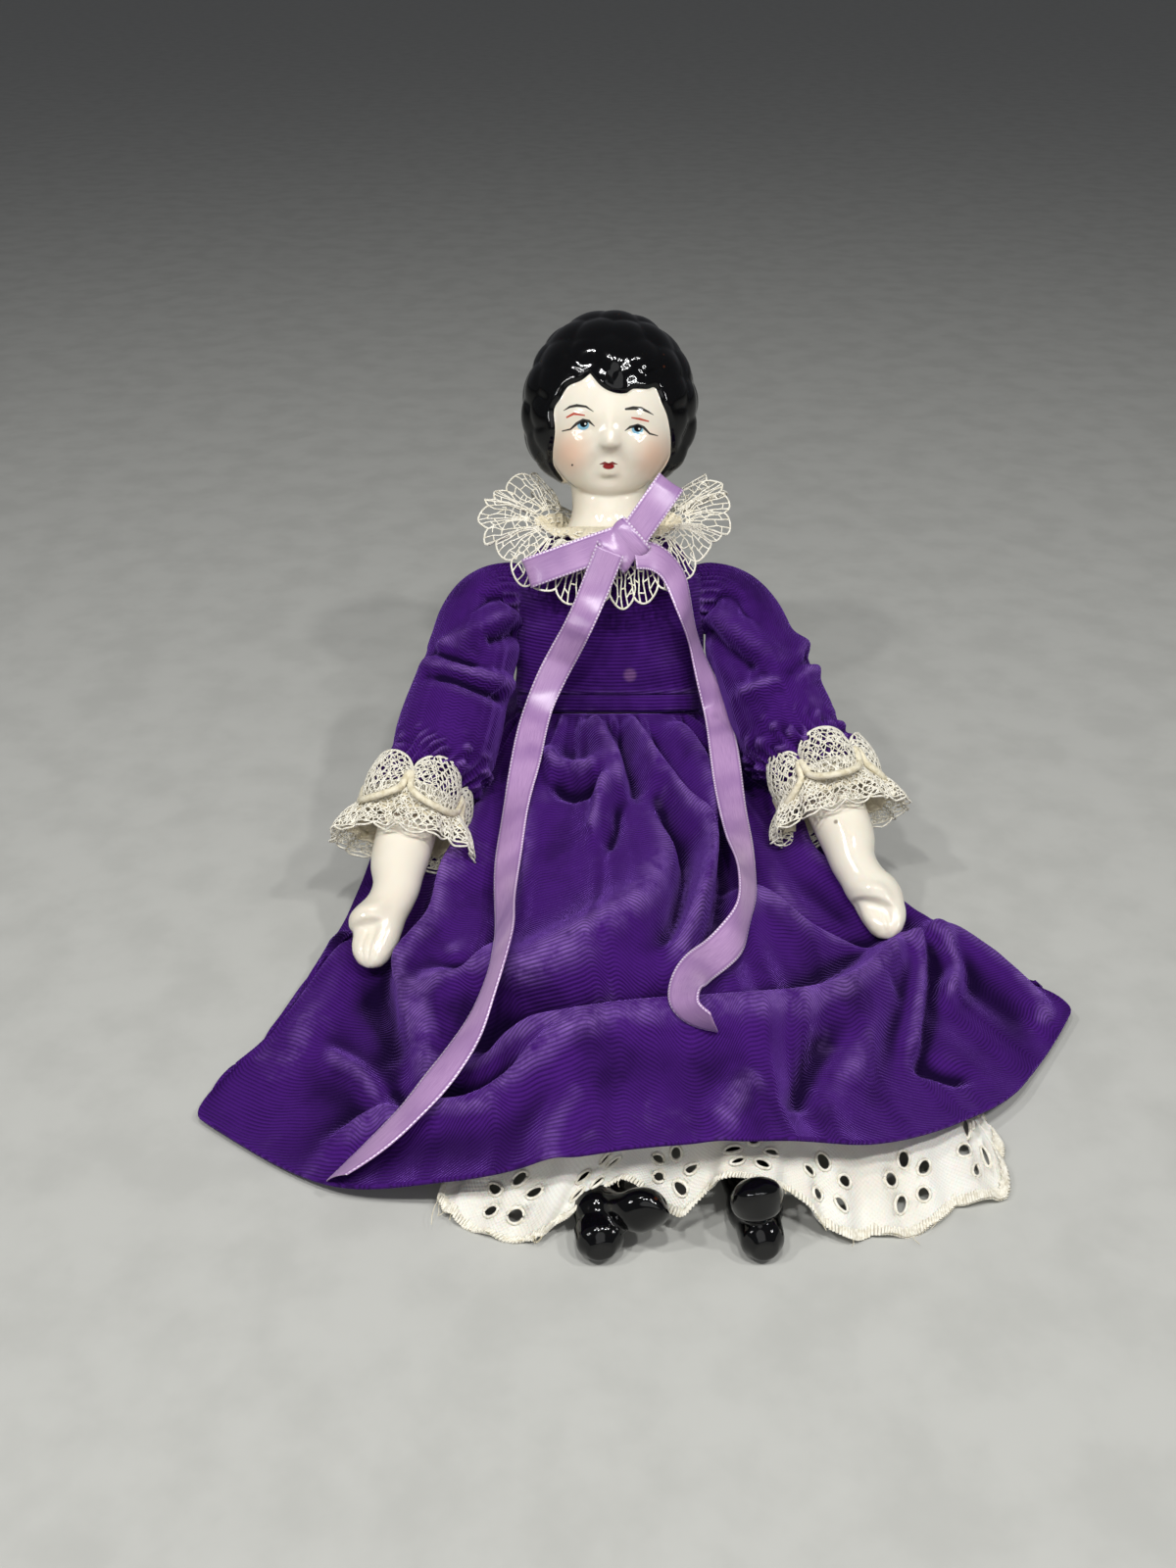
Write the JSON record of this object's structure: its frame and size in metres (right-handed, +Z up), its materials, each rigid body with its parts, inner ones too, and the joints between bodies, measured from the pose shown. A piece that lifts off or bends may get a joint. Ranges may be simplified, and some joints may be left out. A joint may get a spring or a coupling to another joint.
{
  "type": "porcelain head doll",
  "caption": "Seated cloth doll with a china shoulder head, china hands and boots, in a velvet dress with lace, a ribbon bow and an eyelet petticoat.",
  "frame": {"origin": "middle of the flat seat of the doll, on the floor", "axes": "+Z up, the doll faces -Y, its left side is +X"},
  "size_m": [0.2451, 0.2924, 0.1713],
  "materials": {
    "china": "glossy glaze, painted face and hair",
    "black_boot_china": "glossy black glaze on the boot",
    "velvet": "short pile velvet",
    "lace": "cream cotton lace",
    "satin_ribbon": "satin with a picot edge",
    "cotton": "plain weave",
    "muslin": "plain weave",
    "stuffing": "loose fibre",
    "cord": "twisted thread",
    "elastic": "woven elastic",
    "steel": "plain"
  },
  "bodies": {
    "body": {"torso_cloth": "muslin", "torso_stuffing": "stuffing", "shoulder_head": "china", "plate_stitch_1": "cord", "plate_stitch_2": "cord", "plate_stitch_3": "cord", "plate_stitch_4": "cord", "bodice": "velvet", "back_placket": "cotton", "press_stud_1": "steel", "press_stud_2": "steel", "press_stud_3": "steel", "waistband": "velvet", "skirt": "velvet", "petticoat": "cotton", "petticoat_elastic": "elastic", "eyelet_flounce": "cotton", "neck_binding": "cotton", "collar_lace": "lace", "ribbon_bow": "satin_ribbon", "ribbon_tail_right": "satin_ribbon", "ribbon_tail_left": "satin_ribbon"},
    "right_arm": {"upper_arm_right": "muslin", "upper_arm_stuffing_right": "stuffing", "arm_binding_right": "cord", "forearm_right": "china", "sleeve_right": "velvet", "cuff_elastic_right": "elastic", "cuff_lace_right": "lace"},
    "left_arm": {"upper_arm_left": "muslin", "upper_arm_stuffing_left": "stuffing", "arm_binding_left": "cord", "forearm_left": "china", "sleeve_left": "velvet", "cuff_elastic_left": "elastic", "cuff_lace_left": "lace"},
    "right_leg": {"thigh_right": "muslin", "thigh_stuffing_right": "stuffing", "leg_binding_right": "cord", "lower_leg_right": "black_boot_china"},
    "left_leg": {"thigh_left": "muslin", "thigh_stuffing_left": "stuffing", "leg_binding_left": "cord", "lower_leg_left": "black_boot_china"}
  },
  "joints": [
    {"name": "right_shoulder", "type": "hinge", "parent": "body", "child": "right_arm", "pos_m": [-0.031, 0.03539, 0.07948], "axis": [-1, 0, 0], "range_deg": [0, 70]},
    {"name": "left_shoulder", "type": "hinge", "parent": "body", "child": "left_arm", "pos_m": [0.031, 0.03539, 0.07948], "axis": [-1, 0, 0], "range_deg": [0, 70]},
    {"name": "right_hip", "type": "hinge", "parent": "body", "child": "right_leg", "pos_m": [-0.017, -0.024, 0.015], "axis": [1, 0, 0], "range_deg": [0, 80]},
    {"name": "left_hip", "type": "hinge", "parent": "body", "child": "left_leg", "pos_m": [0.017, -0.024, 0.015], "axis": [1, 0, 0], "range_deg": [0, 80]}
  ]
}
